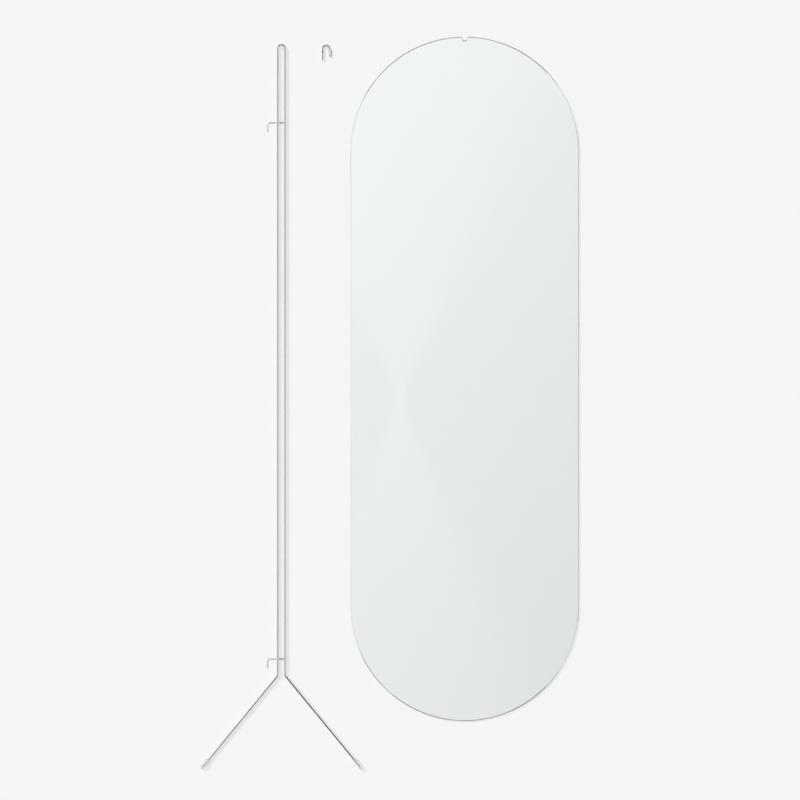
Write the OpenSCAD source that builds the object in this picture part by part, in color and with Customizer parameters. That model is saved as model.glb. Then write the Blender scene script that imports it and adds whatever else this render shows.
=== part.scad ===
// Tall pill-shaped mirror with its bent-rod stand and hooks, laid out flat.
// X runs to the right, Y towards the top of the mirror, Z up from the surface it lies on.
// The origin is the middle of the whole layout, on that surface.

/* [Mirror] */
// Width of the mirror, and the diameter of its round ends
mirror_w = 600; // [400:10:800]
// Height of the mirror, with both round ends
mirror_h = 1800; // [1200:10:2000]
// Thickness of the glass
glass_t = 5; // [4:0.5:6]
// Width of the polished arris on both edges of the glass
arris = 0.8; // [0.3:0.1:1.5]
// Thickness of the silver with its backing paint
silver_t = 0.15; // [0.1:0.05:0.3]
// How far the silver stops short of the edge
silver_inset = 1.6; // [0.5:0.1:4]
// Thickness of the safety film on the back
film_t = 0.4; // [0.2:0.1:1]
// How far the film stops short of the edge
film_inset = 0.8; // [0.2:0.1:3]
// Glue line between two layers
glue_t = 0.05; // [0.02:0.01:0.1]

/* [Hanging notch] */
// Width of the round-bottomed notch in the top edge
notch_w = 14; // [10:0.5:24]
// Depth of the notch, from the top edge to its lowest point
notch_depth = 10; // [8:0.5:20]

/* [Bumpers] */
// Diameter of a bumper where it is stuck to the film
bumper_d = 12; // [8:1:20]
// Height of a bumper
bumper_t = 2.4; // [1.5:0.1:4]
// Diameter of its flat foot
bumper_foot_d = 8; // [5:1:14]
// Distance from the long side of the mirror to a bumper's centre
bumper_inset = 60; // [20:5:120]

/* [Stand] */
// Diameter of the steel rod
rod_d = 8; // [6:0.5:12]
// Distance between the axes of the two long runs
rod_spacing = 19; // [13:0.5:30]
// Drop from the top of the stand to where the legs spread
run_drop = 1662; // [1200:2:1900]
// Length of a leg, from the spread to the outer end of its cap
leg_l = 318; // [150:2:450]
// Angle of a leg from the runs
leg_angle = 39.4; // [20:0.2:55]
// Centreline radius of the bend into a leg
leg_bend_r = 12; // [8:1:30]
// Chamfer on every cut rod end
end_chamfer = 0.6; // [0.2:0.1:1.5]

/* [Foot caps] */
// Length of a cap
cap_l = 30; // [18:1:45]
// Wall of a cap
cap_wall = 1.8; // [1:0.1:3]
// Thickness of its closed end
cap_floor = 6; // [1.5:0.5:8]
// Rounding of its closed end
cap_round = 1.6; // [0.4:0.1:2.4]
// Radial fit of a cap or sleeve on the rod
cap_fit = 0.05; // [0.02:0.01:0.1]

/* [Hanging hook] */
// Clear throat between the two legs, for the glass
throat = 10; // [6:0.5:16]
// Length of the back leg, from the top of the hook
back_leg_l = 43; // [34:1:80]
// Reach of the front leg, from the top of the hook to the sleeve's end
front_leg_l = 32; // [30:1:60]
// Outward flare of the front leg
flare_angle = 5; // [3:0.5:15]
// Centreline radius of the flare's bend
flare_r = 14; // [8:1:30]
// Length of the sleeve on the front leg
sleeve_l = 17; // [10:0.5:30]
// Wall of the sleeve
sleeve_wall = 0.6; // [0.4:0.1:1.2]

/* [Grub screw] */
// Diameter of the grub screw
screw_d = 4; // [3:0.5:5]
// Length of the grub screw
screw_l = 5; // [3:0.5:6]
// Distance from the top of the hook to the screw
screw_drop = 20.5; // [16:0.5:30]
// Turn of the screw from upright, towards the outside of the hook
screw_tilt = 0; // [0:1:60]
// How far the screw lies below the rod's surface
screw_sink = 0.4; // [0.2:0.1:1]
// Width across flats of its socket
socket_af = 2; // [1.5:0.1:2.5]
// Radial fit of the screw in its hole
screw_fit = 0.05; // [0.02:0.01:0.1]

/* [Wall hooks] */
// Diameter of the hook wire
wire_d = 4; // [3:0.5:5]
// Length of the shank, from the axis of the arm to the point
shank_l = 52.5; // [40:0.5:90]
// Length of the arm, from the axis of the shank
arm_l = 23.5; // [15:0.5:50]
// Centreline radius of the corner
corner_r = 4.5; // [4:0.5:8]
// Length of the screwed end, with its point
thread_l = 22; // [12:1:35]
// Diameter of the screwed end at the root of the thread
thread_core_d = 3; // [2:0.1:3.4]
// Length of the point
point_l = 5; // [2:0.5:9]

/* [Layout] */
// Gap from the stand's middle line to the mirror's side
mirror_gap = 182; // [150:1:320]
// How far the mirror reaches above the top of the stand
mirror_rise = 17.5; // [0:0.5:60]
// Distance from the stand's middle line to the hook's
hook_gap = 117.5; // [60:0.5:140]
// How far the hook's top lies below the stand's
hook_drop = 1; // [0:0.5:40]
// Distance from the stand's middle line to a wall hook's arm
arm_reach = 37; // [20:0.5:80]
// Distance from the top of the stand to the upper wall hook
upper_hook_drop = 208; // [100:4:500]
// Distance from the lower wall hook to where the legs spread
lower_hook_rise = 42; // [20:1:300]
// Clearance between a wall hook and the rods that lie on it
lay_gap = 0.3; // [0.1:0.05:0.5]

/* [Hidden] */
$fn = 96;
// Length that cutting tools run past a face
over = 1;
// A straight rod runs this far into a bend, which is thicker by swell, so that both merge
weld = rod_d / 80;
swell = rod_d / 200;

// Heights of the mirror's layers above the surface
film_z = bumper_t;
silver_z = film_z + film_t + glue_t;
glass_z = silver_z + silver_t + glue_t;

// The stand, measured from the top of its hairpin bend
rod_r = rod_d / 2;
hairpin_r = rod_spacing / 2;
leg_tangent = leg_bend_r * tan(leg_angle / 2);
rod_z = wire_d + lay_gap + rod_r;
cap_r = rod_r + cap_fit + cap_wall;
leg_run = leg_l - leg_tangent;
// Reach of a cap's rounded end, sideways and down
foot_side = hairpin_r + (leg_l - cap_round) * sin(leg_angle)
            + (cap_r - cap_round) * cos(leg_angle) + cap_round;
foot_drop = run_drop + (leg_l - cap_round) * cos(leg_angle)
            + (cap_r - cap_round) * sin(leg_angle) + cap_round;

// The hanging hook, measured from its top
throat_r = (throat + rod_d) / 2;
hook_bend_drop = throat_r + rod_r;
front_run = (front_leg_l - hook_bend_drop - flare_r * sin(flare_angle)) / cos(flare_angle);

// The hook lies on its sleeve
sleeve_r = rod_r + cap_fit + sleeve_wall;

// Middle of the layout, measured from the top of the stand; the notch cuts off the
// topmost point of the mirror
mirror_r = mirror_w / 2;
mirror_side = mirror_h - mirror_w;
notch_r = notch_w / 2;
crown_loss = mirror_r - sqrt(mirror_r * mirror_r - notch_r * notch_r);
mid_x = (mirror_gap + mirror_w - foot_side) / 2;
mid_y = (mirror_rise - crown_loss - foot_drop) / 2;

// A straight rod from a bend at the origin towards -Y, chamfered at its far end
module rod_end(d, l) {
    rotate([90, 0, 0]) {
        translate([0, 0, -weld])
            cylinder(d = d, h = l - end_chamfer + weld);
        translate([0, 0, l - end_chamfer])
            cylinder(d1 = d, d2 = d - 2 * end_chamfer, h = end_chamfer);
    }
}

// A straight rod from a bend at the origin towards -Y, to the next bend
module rod_run(d, l) {
    rotate([90, 0, 0])
        translate([0, 0, -weld])
            cylinder(d = d, h = l + 2 * weld);
}

// A bent rod round the Z axis, from +X and turning anticlockwise
module rod_bend(d, r, angle) {
    rotate_extrude(angle = angle)
        translate([r, 0])
            circle(d = d + swell);
}

// A bend that starts at the origin towards -Y and turns towards +X
module side_bend(d, r, angle) {
    translate([r, 0, 0])
        rotate([0, 0, 180])
            rod_bend(d, r, angle);
}

// Turns -Y along the rod, from where such a bend ends
module past_bend(r, angle) {
    translate([r, 0, 0])
        rotate([0, 0, 180 + angle])
            translate([r, 0, 0])
                rotate([0, 0, 180])
                    children();
}

// A closed sleeve from its rim at the origin towards -Y
module closed_sleeve(l, bore_r, wall, end_t, edge_r) {
    outer_r = bore_r + wall;
    rotate([90, 0, 0])
        rotate_extrude()
            difference() {
                union() {
                    square([outer_r, l - edge_r]);
                    square([outer_r - edge_r, l]);
                    translate([outer_r - edge_r, l - edge_r])
                        circle(r = edge_r);
                }
                translate([0, -over])
                    square([bore_r, l - end_t + over]);
                translate([-over - edge_r, -over])
                    square([over + edge_r, l + 2 * over]);
            }
}

// Moves the mirror's pieces from the mirror's middle to their place
module at_mirror(z) {
    translate([mirror_gap + mirror_r - mid_x, mirror_rise - mirror_h / 2 - mid_y, z])
        children();
}

// Moves the stand's pieces from the top of the hairpin to their place
module at_stand() {
    translate([-mid_x, -mid_y, rod_z])
        children();
}

// Moves the hook's pieces from the hook's top to their place
module at_hook() {
    translate([hook_gap - mid_x, -hook_drop - mid_y, sleeve_r])
        children();
}

// Moves to where the right run starts to bend into its leg
module at_leg_bend() {
    translate([hairpin_r, leg_tangent - run_drop, 0])
        children();
}

// Moves to where the front leg of the hook starts to flare
module at_flare() {
    translate([throat_r, -hook_bend_drop, 0])
        children();
}

// Turns +Z along the grub screw, from the axis of the hook's back leg
module along_screw() {
    translate([-throat_r, -screw_drop, 0])
        rotate([0, -screw_tilt, 0])
            children();
}

// Outline of a flat pill that is smaller than the mirror all round
module pill(inset) {
    difference() {
        union() {
            square([mirror_w - 2 * inset, mirror_side], center = true);
            for (end = [-1, 1])
                translate([0, end * mirror_side / 2])
                    circle(d = mirror_w - 2 * inset, $fn = 360);
        }
        notch_outline(inset);
    }
}

// The round-bottomed notch, grown by the same inset
module notch_outline(inset) {
    centre_y = mirror_h / 2 - notch_depth + notch_r;
    translate([0, centre_y])
        circle(r = notch_r + inset);
    translate([-notch_r - inset, centre_y])
        square([notch_w + 2 * inset, notch_depth + over]);
}

// Half section of the glass, from its middle line to its polished edge
module glass_section() {
    polygon([[0, 0], [mirror_r - arris, 0], [mirror_r, arris], [mirror_r, glass_t - arris],
             [mirror_r - arris, glass_t], [0, glass_t]]);
}

module mirror_glass() {
    color([0.86, 0.9, 0.9, 0.5])
        at_mirror(glass_z)
            difference() {
                union() {
                    for (turn = [0, 180])
                        rotate([0, 0, turn])
                            translate([0, mirror_side / 2, 0])
                                rotate([90, 0, 0])
                                    linear_extrude(mirror_side)
                                        glass_section();
                    for (end = [-1, 1])
                        translate([0, end * mirror_side / 2, 0])
                            rotate_extrude($fn = 360)
                                glass_section();
                }
                translate([0, 0, -over])
                    linear_extrude(glass_t + 2 * over)
                        notch_outline(0);
            }
}

module silver_coat() {
    color([0.9, 0.9, 0.9])
        at_mirror(silver_z)
            linear_extrude(silver_t)
                pill(silver_inset);
}

module safety_film() {
    color([0.6, 0.61, 0.62])
        at_mirror(film_z)
            linear_extrude(film_t)
                pill(film_inset);
}

// A bumper where a long side of the mirror meets a round end
module bumper(side, end) {
    x = side * (mirror_r - bumper_inset);
    y = end * mirror_side / 2;
    color([0.85, 0.86, 0.86])
        at_mirror(0)
            translate([x, y, 0])
                cylinder(d1 = bumper_foot_d, d2 = bumper_d, h = bumper_t);
}

module stand_rod() {
    color([0.78, 0.79, 0.8])
        at_stand() {
            translate([0, -hairpin_r - rod_r, 0])
                rod_bend(rod_d, hairpin_r, 180);
            for (side = [0, 1])
                mirror([side, 0, 0]) {
                    translate([hairpin_r, -hairpin_r - rod_r, 0])
                        rod_run(rod_d, run_drop - leg_tangent - hairpin_r - rod_r);
                    at_leg_bend() {
                        side_bend(rod_d, leg_bend_r, leg_angle);
                        past_bend(leg_bend_r, leg_angle)
                            rod_end(rod_d, leg_run - cap_floor - cap_fit);
                    }
                }
        }
}

// The cap of the right leg, or its mirror image with side 1
module foot_cap(side) {
    color([0.9, 0.91, 0.91, 0.6])
        at_stand()
            mirror([side, 0, 0])
                at_leg_bend()
                    past_bend(leg_bend_r, leg_angle)
                        translate([0, cap_l - leg_run, 0])
                            closed_sleeve(cap_l, rod_r + cap_fit, cap_wall, cap_floor,
                                          cap_round);
}

module hanging_hook() {
    color([0.78, 0.79, 0.8])
        at_hook()
            difference() {
                union() {
                    translate([0, -hook_bend_drop, 0])
                        rod_bend(rod_d, throat_r, 180);
                    translate([-throat_r, -hook_bend_drop, 0])
                        rod_end(rod_d, back_leg_l - hook_bend_drop);
                    at_flare() {
                        side_bend(rod_d, flare_r, flare_angle);
                        past_bend(flare_r, flare_angle)
                            rod_end(rod_d, front_run - sleeve_wall - cap_fit);
                    }
                }
                along_screw()
                    cylinder(d = screw_d + 2 * screw_fit, h = rod_d + 2 * over, center = true);
            }
}

module hook_sleeve() {
    color([0.8, 0.81, 0.81, 0.7])
        at_hook()
            at_flare()
                past_bend(flare_r, flare_angle)
                    translate([0, sleeve_l - front_run, 0])
                        closed_sleeve(sleeve_l, rod_r + cap_fit, sleeve_wall, sleeve_wall,
                                      sleeve_wall / 2);
}

module grub_screw() {
    top = rod_r - screw_sink;
    color([0.08, 0.08, 0.09])
        at_hook()
            along_screw()
                difference() {
                    union() {
                        translate([0, 0, top - screw_l + end_chamfer])
                            cylinder(d = screw_d, h = screw_l - end_chamfer);
                        translate([0, 0, top - screw_l])
                            cylinder(d1 = screw_d - 2 * end_chamfer, d2 = screw_d,
                                     h = end_chamfer);
                    }
                    translate([0, 0, top - socket_af])
                        cylinder(d = socket_af / cos(30), h = socket_af + over, $fn = 6);
                }
}

// A square-bent screw hook that lies under the rods; drop is measured from the stand's top
module wall_hook(drop) {
    plain_end = shank_l - thread_l;
    color([0.75, 0.76, 0.77])
        translate([-arm_reach - mid_x, -drop - mid_y, wire_d / 2]) {
            translate([0, -corner_r, 0])
                rod_end(wire_d, arm_l - corner_r);
            translate([corner_r, -corner_r, 0])
                rotate([0, 0, 90])
                    rod_bend(wire_d, corner_r, 90);
            translate([corner_r - weld, 0, 0])
                rotate([0, 90, 0])
                    cylinder(d = wire_d, h = plain_end - corner_r + weld);
            translate([plain_end, 0, 0])
                rotate([0, 90, 0])
                    cylinder(d = thread_core_d, h = thread_l - point_l);
            translate([shank_l - point_l, 0, 0])
                rotate([0, 90, 0])
                    cylinder(d1 = thread_core_d, d2 = 0, h = point_l);
        }
}

mirror_glass();
silver_coat();
safety_film();
bumper(-1, 1);  // bumper_upper_left
bumper(1, 1);  // bumper_upper_right
bumper(-1, -1);  // bumper_lower_left
bumper(1, -1);  // bumper_lower_right
stand_rod();
foot_cap(1);  // foot_cap_left
foot_cap(0);  // foot_cap_right
hanging_hook();
hook_sleeve();
grub_screw();
wall_hook(upper_hook_drop);  // wall_hook_upper
wall_hook(run_drop - lower_hook_rise);  // wall_hook_lower
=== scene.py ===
"""Tall pill-shaped mirror with its bent-rod stand and hooks, laid out flat."""
import math
from functools import partial

import bmesh
import bpy
from bpy.props import FloatProperty, FloatVectorProperty, IntProperty, PointerProperty
from mathutils import Matrix, Vector


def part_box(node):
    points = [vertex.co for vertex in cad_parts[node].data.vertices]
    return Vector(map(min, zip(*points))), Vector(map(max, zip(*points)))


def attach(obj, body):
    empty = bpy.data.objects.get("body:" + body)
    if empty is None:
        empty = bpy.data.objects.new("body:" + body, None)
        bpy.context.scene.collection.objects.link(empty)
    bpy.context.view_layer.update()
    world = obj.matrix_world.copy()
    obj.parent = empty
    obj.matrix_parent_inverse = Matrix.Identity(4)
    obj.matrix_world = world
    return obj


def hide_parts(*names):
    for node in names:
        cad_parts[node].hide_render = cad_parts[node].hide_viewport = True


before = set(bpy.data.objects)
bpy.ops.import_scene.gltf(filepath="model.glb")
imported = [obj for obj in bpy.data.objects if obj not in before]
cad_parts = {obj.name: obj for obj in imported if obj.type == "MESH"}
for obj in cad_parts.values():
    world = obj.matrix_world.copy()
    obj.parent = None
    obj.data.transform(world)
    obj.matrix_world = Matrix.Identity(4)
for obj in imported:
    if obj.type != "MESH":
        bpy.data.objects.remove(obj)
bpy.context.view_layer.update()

bl_info = {
    "name": "Pill Mirror Kit",
    "version": (1, 0, 0),
    "blender": (4, 5, 0),
    "location": "3D View > Sidebar > Mirror Kit",
    "description": "Builds a pill-shaped mirror with its rod stand, hanging hook and wall hooks",
    "category": "Object",
}

# One millimetre, the CAD model's box, and the lowest and highest corners of its pieces
MM = 0.001
GLASS_LOW, GLASS_HIGH = (Vector(corner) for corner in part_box("mirror_glass"))
SILVER_LOW, SILVER_HIGH = (Vector(corner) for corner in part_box("silver_coat"))
FILM_LOW, FILM_HIGH = (Vector(corner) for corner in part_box("safety_film"))
STAND_LOW, STAND_HIGH = (Vector(corner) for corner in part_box("stand_rod"))
HOOK_LOW, HOOK_HIGH = (Vector(corner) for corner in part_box("hanging_hook"))

# Faces that meet at more than this angle get a sharp edge, on turned pieces and on plates
ROUND_EDGE, FLAT_EDGE = math.radians(32), math.radians(25)
# Points nearer than this are merged
MERGE_GAP = 0.2e-6
# Facets of the notch, of the rims of caps and sleeve, and of their closed ends
NOTCH_STEPS, RIM_STEPS, END_STEPS = 24, 4, 8
# Facets round caps, bumpers and the drilled hole, round hook and sleeve, and round wire
TURNED_SIDES, HOOK_SIDES, WIRE_SIDES = 48, 64, 40
# Rounding of the rims of the foot caps and of the hook's sleeve
CAP_LIP, SLEEVE_LIP = 0.35 * MM, 0.15 * MM
# How far a cutting shape sticks out of what it cuts
CUT_SPARE = 1 * MM
# Marks that are as long as they are wide
EVEN = (1, 1, 1)
# Least and most brightness of the ceiling light
PATCH_LEAST, PATCH_MOST = 0.75, 1.05
# Sideways share of a level direction up to which, and from which, it isn't straight ahead
AHEAD_INNER, AHEAD_OUTER = 0.25, 0.55
# Keeps the level part of a direction straight up from being 0
LEAST_FLAT_SQUARE = 0.0001
# Reach of the floor as a share of the dome's radius, and depth of the dome below the floor
FLOOR_SHARE, DOME_SKIRT = 1.2, 0.1
# Level direction towards the lamp
LAMP_BEARING = (-0.75, 0.66)


# Settings

class MirrorSettings(bpy.types.PropertyGroup):
    arris: FloatProperty(
        name="Arris", description="Width of the polished arris on both edges of the glass",
        default=0.8 * MM, min=0.3 * MM, max=1.5 * MM, precision=5, unit="LENGTH")
    notch_width: FloatProperty(
        name="Notch width", description="Width of the round-bottomed notch in the top edge",
        default=14 * MM, min=10 * MM, max=24 * MM, precision=4, unit="LENGTH")
    notch_depth: FloatProperty(
        name="Notch depth", description="Depth of the notch below the top edge",
        default=10 * MM, min=8 * MM, max=20 * MM, precision=4, unit="LENGTH")
    silver_inset: FloatProperty(
        name="Silver inset", description="How far the silver stops short of the edge",
        default=1.6 * MM, min=0.5 * MM, max=4 * MM, precision=5, unit="LENGTH")
    film_inset: FloatProperty(
        name="Film inset", description="How far the safety film stops short of the edge",
        default=0.8 * MM, min=0.2 * MM, max=3 * MM, precision=5, unit="LENGTH")
    arc_steps: IntProperty(
        name="Arc steps", description="Facets in each round end", default=192, min=48, max=512)
    glass_tint: FloatVectorProperty(
        name="Glass tint", description="Faint green of the float glass",
        default=(0.975, 0.992, 0.984), min=0, max=1, subtype="COLOR")
    silver_colour: FloatVectorProperty(
        name="Silver", description="Colour of the silvering seen through the glass",
        default=(0.955, 0.958, 0.955), min=0, max=1, subtype="COLOR")


class RodSettings(bpy.types.PropertyGroup):
    spacing: FloatProperty(
        name="Rod spacing", description="Distance between the axes of the two long runs",
        default=19 * MM, min=13 * MM, max=30 * MM, precision=4, unit="LENGTH")
    run_drop: FloatProperty(
        name="Run drop", description="Drop from the top of the stand to where the legs spread",
        default=1662 * MM, min=1.2, max=1.9, unit="LENGTH")
    leg_length: FloatProperty(
        name="Leg length", description="Length of a leg, to the outer end of its cap",
        default=318 * MM, min=0.15, max=0.45, unit="LENGTH")
    leg_angle: FloatProperty(
        name="Leg angle", description="Angle of a leg from the runs",
        default=math.radians(39.4), min=math.radians(20), max=math.radians(55),
        subtype="ANGLE")
    leg_bend: FloatProperty(
        name="Leg bend", description="Centreline radius of the bend into a leg",
        default=12 * MM, min=8 * MM, max=30 * MM, precision=4, unit="LENGTH")
    chamfer: FloatProperty(
        name="End chamfer", description="Chamfer on every cut rod end",
        default=0.6 * MM, min=0.2 * MM, max=1.5 * MM, precision=5, unit="LENGTH")
    sides: IntProperty(
        name="Sides", description="Facets round a rod", default=48, min=12, max=96)
    bend_steps: IntProperty(
        name="Bend steps", description="Rings in each bend", default=24, min=6, max=64)
    chrome_colour: FloatVectorProperty(
        name="Chrome", description="Colour of the polished plating",
        default=(0.90, 0.905, 0.91), min=0, max=1, subtype="COLOR")


class CapSettings(bpy.types.PropertyGroup):
    length: FloatProperty(
        name="Cap length", description="Length of a foot cap",
        default=30 * MM, min=18 * MM, max=45 * MM, precision=4, unit="LENGTH")
    wall: FloatProperty(
        name="Cap wall", description="Wall of a foot cap",
        default=1.8 * MM, min=1 * MM, max=3 * MM, precision=5, unit="LENGTH")
    floor: FloatProperty(
        name="Cap floor", description="Thickness of the cap's closed end",
        default=6 * MM, min=1.5 * MM, max=8 * MM, precision=5, unit="LENGTH")
    rounding: FloatProperty(
        name="Cap rounding", description="Rounding of the closed end",
        default=1.6 * MM, min=0.4 * MM, max=2.4 * MM, precision=5, unit="LENGTH")
    fit: FloatProperty(
        name="Fit", description="Radial fit of a cap or sleeve on its rod",
        default=0.05 * MM, min=0.02 * MM, max=0.1 * MM, precision=6, unit="LENGTH")
    vinyl_colour: FloatVectorProperty(
        name="Vinyl", description="Colour of the clear foot caps",
        default=(0.97, 0.975, 0.98), min=0, max=1, subtype="COLOR")


class HookSettings(bpy.types.PropertyGroup):
    throat: FloatProperty(
        name="Throat", description="Clear throat between the two legs, for the glass",
        default=10 * MM, min=6 * MM, max=16 * MM, precision=5, unit="LENGTH")
    back_leg: FloatProperty(
        name="Back leg", description="Length of the back leg, from the top of the hook",
        default=43 * MM, min=34 * MM, max=80 * MM, precision=4, unit="LENGTH")
    front_leg: FloatProperty(
        name="Front leg", description="Reach of the front leg, to the sleeve's end",
        default=32 * MM, min=30 * MM, max=60 * MM, precision=4, unit="LENGTH")
    flare: FloatProperty(
        name="Flare", description="Outward flare of the front leg",
        default=math.radians(5), min=math.radians(3), max=math.radians(15), subtype="ANGLE")
    flare_bend: FloatProperty(
        name="Flare bend", description="Centreline radius of the flare's bend",
        default=14 * MM, min=8 * MM, max=30 * MM, precision=4, unit="LENGTH")
    sleeve_length: FloatProperty(
        name="Sleeve length", description="Length of the sleeve on the front leg",
        default=17 * MM, min=10 * MM, max=30 * MM, precision=4, unit="LENGTH")
    sleeve_wall: FloatProperty(
        name="Sleeve wall", description="Wall of the sleeve",
        default=0.6 * MM, min=0.4 * MM, max=1.2 * MM, precision=5, unit="LENGTH")
    screw_diameter: FloatProperty(
        name="Screw diameter", description="Diameter of the grub screw over its thread",
        default=4 * MM, min=3 * MM, max=5 * MM, precision=5, unit="LENGTH")
    screw_length: FloatProperty(
        name="Screw length", description="Length of the grub screw",
        default=5 * MM, min=3 * MM, max=6 * MM, precision=5, unit="LENGTH")
    screw_drop: FloatProperty(
        name="Screw drop", description="Distance from the top of the hook to the screw",
        default=20.5 * MM, min=16 * MM, max=30 * MM, precision=5, unit="LENGTH")
    screw_tilt: FloatProperty(
        name="Screw tilt", description="Turn of the screw from upright, towards the outside",
        default=0, min=0, max=math.radians(60), subtype="ANGLE")
    screw_sink: FloatProperty(
        name="Screw sink", description="How far the screw lies below the rod's surface",
        default=0.4 * MM, min=0.2 * MM, max=1 * MM, precision=5, unit="LENGTH")
    socket_width: FloatProperty(
        name="Socket width", description="Width across flats of the screw's socket",
        default=2 * MM, min=1.5 * MM, max=2.5 * MM, precision=5, unit="LENGTH")
    sleeve_colour: FloatVectorProperty(
        name="Sleeve", description="Colour of the soft sleeve",
        default=(0.71, 0.71, 0.71), min=0, max=1, subtype="COLOR")


class WallHookSettings(bpy.types.PropertyGroup):
    wire: FloatProperty(
        name="Wire diameter", description="Diameter of the hook wire",
        default=4 * MM, min=3 * MM, max=5 * MM, precision=5, unit="LENGTH")
    shank: FloatProperty(
        name="Shank", description="Length of the shank, from the axis of the arm to the point",
        default=52.5 * MM, min=40 * MM, max=90 * MM, precision=4, unit="LENGTH")
    arm: FloatProperty(
        name="Arm", description="Length of the arm, from the axis of the shank",
        default=23.5 * MM, min=15 * MM, max=50 * MM, precision=4, unit="LENGTH")
    corner: FloatProperty(
        name="Corner", description="Centreline radius of the corner",
        default=4.5 * MM, min=4 * MM, max=8 * MM, precision=5, unit="LENGTH")
    thread_length: FloatProperty(
        name="Thread length", description="Length of the screwed end, with its point",
        default=22 * MM, min=12 * MM, max=35 * MM, precision=4, unit="LENGTH")
    core: FloatProperty(
        name="Thread core", description="Diameter at the root of the thread",
        default=3 * MM, min=2 * MM, max=3.4 * MM, precision=5, unit="LENGTH")
    point: FloatProperty(
        name="Point", description="Length of the point",
        default=5 * MM, min=2 * MM, max=9 * MM, precision=5, unit="LENGTH")
    pitch: FloatProperty(
        name="Pitch", description="Pitch of the wood thread",
        default=1.7 * MM, min=1 * MM, max=3 * MM, precision=5, unit="LENGTH")
    wire_colour: FloatVectorProperty(
        name="Wire", description="Colour of the bright plated wire",
        default=(0.82, 0.825, 0.83), min=0, max=1, subtype="COLOR")
    # Dark steel of the screwed end, together with painted shade: the colour is darker than the
    # wire partly to stand for the shade where the thread lies between and under the stand's rods
    thread_colour: FloatVectorProperty(
        name="Thread", description="Colour of the darker screwed end",
        default=(0.37, 0.37, 0.375), min=0, max=1, subtype="COLOR")


class StudioSettings(bpy.types.PropertyGroup):
    camera_height: FloatProperty(
        name="Camera height", description="Height of the camera above the surface",
        default=5.008, min=2, max=12, unit="LENGTH")
    camera_centre: FloatVectorProperty(
        name="Camera centre", description="Point of the surface below the camera",
        size=2, default=(28.3 * MM, 8.7 * MM), precision=4, subtype="XYZ", unit="LENGTH")
    lens: FloatProperty(
        name="Lens", description="Focal length in millimetres", default=85.55, min=20, max=200)
    floor_colour: FloatVectorProperty(
        name="Floor", description="Colour of the pale surface",
        default=(0.913, 0.913, 0.913), min=0, max=1, subtype="COLOR")
    ceiling: FloatVectorProperty(
        name="Ceiling light", description="Brightness of the ceiling light at its middle, and "
        "its slope to the right and to the top",
        size=3, default=(0.937, -0.455, 0.309))
    patch_low: FloatVectorProperty(
        name="Ceiling light low", description="Left and bottom ends of the ceiling light, as "
        "sideways parts of the direction towards it",
        size=2, default=(-0.033, -0.27))
    patch_high: FloatVectorProperty(
        name="Ceiling light high", description="Right and top ends of the ceiling light",
        size=2, default=(0.11, 0.235))
    patch_blur: FloatProperty(
        name="Ceiling light blur", description="Softness of the ceiling light's ends",
        default=0.02, min=0.001, max=0.2)
    dark_tone: FloatProperty(
        name="Dark tone", description="Brightness of the dark part of the ceiling",
        default=0.01, min=0, max=1)
    metal_middle_tone: FloatProperty(
        name="Middle tone in metal", description="Brightness of the dark part straight above "
        "and below the ceiling light, as bare metal shows it", default=0.62, min=0, max=1)
    glass_middle_tone: FloatProperty(
        name="Middle tone in glass", description="The same brightness as the mirror shows it",
        default=0.28, min=0, max=1)
    metal_end: FloatProperty(
        name="Dark end in metal", description="Angle from straight up at which the dark part "
        "ends above and below, as bare metal shows it",
        default=math.radians(58), min=0, max=1.5, subtype="ANGLE")
    metal_side_end: FloatProperty(
        name="Dark side end in metal", description="The same angle to the left and right",
        default=math.radians(24.5), min=0, max=1.5, subtype="ANGLE")
    glass_end: FloatProperty(
        name="Dark end in glass", description="Angle from straight up at which the dark part "
        "ends above and below, as the mirror shows it",
        default=math.radians(36), min=0, max=1.5, subtype="ANGLE")
    glass_side_end: FloatProperty(
        name="Dark side end in glass", description="The same angle to the left and right",
        default=math.radians(19.3), min=0, max=1.5, subtype="ANGLE")
    metal_shift: FloatProperty(
        name="Dark shift in metal", description="How far the dark part lies to the right, as "
        "bare metal shows it", default=0.03, min=-0.5, max=0.5)
    glass_shift: FloatProperty(
        name="Dark shift in glass", description="The same distance as the mirror shows it",
        default=0.055, min=-0.5, max=0.5)
    dark_flare: FloatProperty(
        name="Dark flare", description="How much the dark part widens above and below",
        default=0.35, min=0, max=3)
    dark_blur: FloatProperty(
        name="Dark blur", description="Softness of the dark part's outer end", default=0.02,
        min=0.001, max=0.5)
    shell_radius: FloatProperty(
        name="Studio radius", description="Radius of the dome that carries the ceiling",
        default=50, min=8, max=200, unit="LENGTH")
    wall_tone: FloatProperty(
        name="Wall tone", description="Brightness of the studio walls", default=0.92,
        min=0, max=1)
    wall_middle_tone: FloatProperty(
        name="Wall middle tone", description="Brightness of the walls at the top and bottom of "
        "the picture, as bare metal shows them", default=0.55, min=0, max=1)
    shadow_depth: FloatProperty(
        name="Shadow depth", description="Share of its real depth that a shadow shows",
        default=0.27, min=0, max=1)
    sky_strength: FloatProperty(
        name="Sky strength", description="Share of the light that comes from all round",
        default=0.3, min=0, max=1)
    sun_height: FloatProperty(
        name="Lamp height", description="Angle of the lamp above the surface",
        default=math.radians(48), min=0.2, max=1.5, subtype="ANGLE")
    sun_spread: FloatProperty(
        name="Lamp spread", description="Angle that the soft lamp spans",
        default=math.radians(24), min=0, max=1.2, subtype="ANGLE")


class MirrorKitSettings(bpy.types.PropertyGroup):
    mirror: PointerProperty(type=MirrorSettings)
    rod: PointerProperty(type=RodSettings)
    cap: PointerProperty(type=CapSettings)
    hook: PointerProperty(type=HookSettings)
    wall_hook: PointerProperty(type=WallHookSettings)
    studio: PointerProperty(type=StudioSettings)


# Places in the frame

def rod_diameter():
    return STAND_HIGH.z - STAND_LOW.z


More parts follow.
